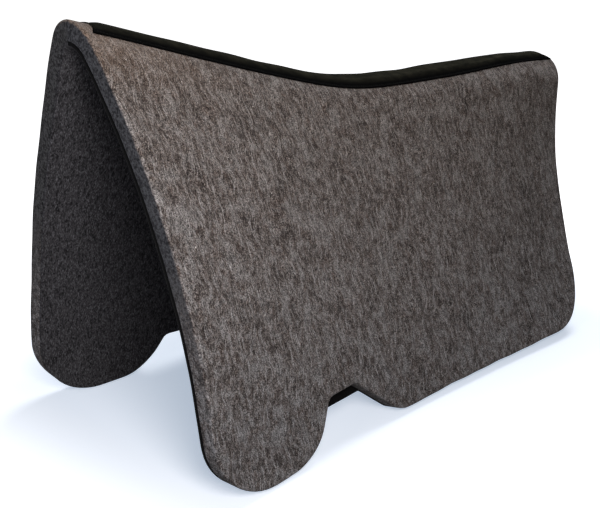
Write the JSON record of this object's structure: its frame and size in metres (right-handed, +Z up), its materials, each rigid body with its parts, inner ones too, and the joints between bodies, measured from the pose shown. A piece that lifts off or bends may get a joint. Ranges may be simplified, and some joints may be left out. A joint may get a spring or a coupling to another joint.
{
  "type": "felt saddle pad",
  "caption": "Contoured wool felt saddle pad folded over its spine, with a dark lining, cinch notches and a black padded fabric strip along the spine.",
  "frame": {"origin": "on the ground under the middle of the pad, halfway along its spine", "axes": "+X to the withers end, +Y to the horse's left side, +Z up"},
  "size_m": [0.762, 0.3396, 0.4513],
  "materials": {
    "heather_felt": "brushed heathered wool felt",
    "lining_felt": "dense dark wool felt",
    "padding_foam": "soft non-woven padding",
    "black_knit": "smooth black knit fabric",
    "black_thread": "bonded polyester thread"
  },
  "bodies": {
    "left_half": {"left_felt": "heather_felt", "left_lining": "lining_felt", "spine_padding": "padding_foam", "spine_cover": "black_knit", "seam_thread": "black_thread", "left_topstitch": "black_thread", "right_topstitch": "black_thread", "front_end_stitch": "black_thread", "rear_end_stitch": "black_thread"},
    "right_half": {"right_felt": "heather_felt", "right_lining": "lining_felt"}
  },
  "joints": [
    {"name": "spine_fold", "type": "hinge", "parent": "left_half", "child": "right_half", "pos_m": [0.381, 0, 0.453], "axis": [-0.9901, 0, -0.1403], "range_deg": [0, 60], "stiffness_Nm_per_rad": 4, "deforming": ["spine_padding", "spine_cover", "seam_thread", "right_topstitch", "front_end_stitch", "rear_end_stitch"]}
  ]
}
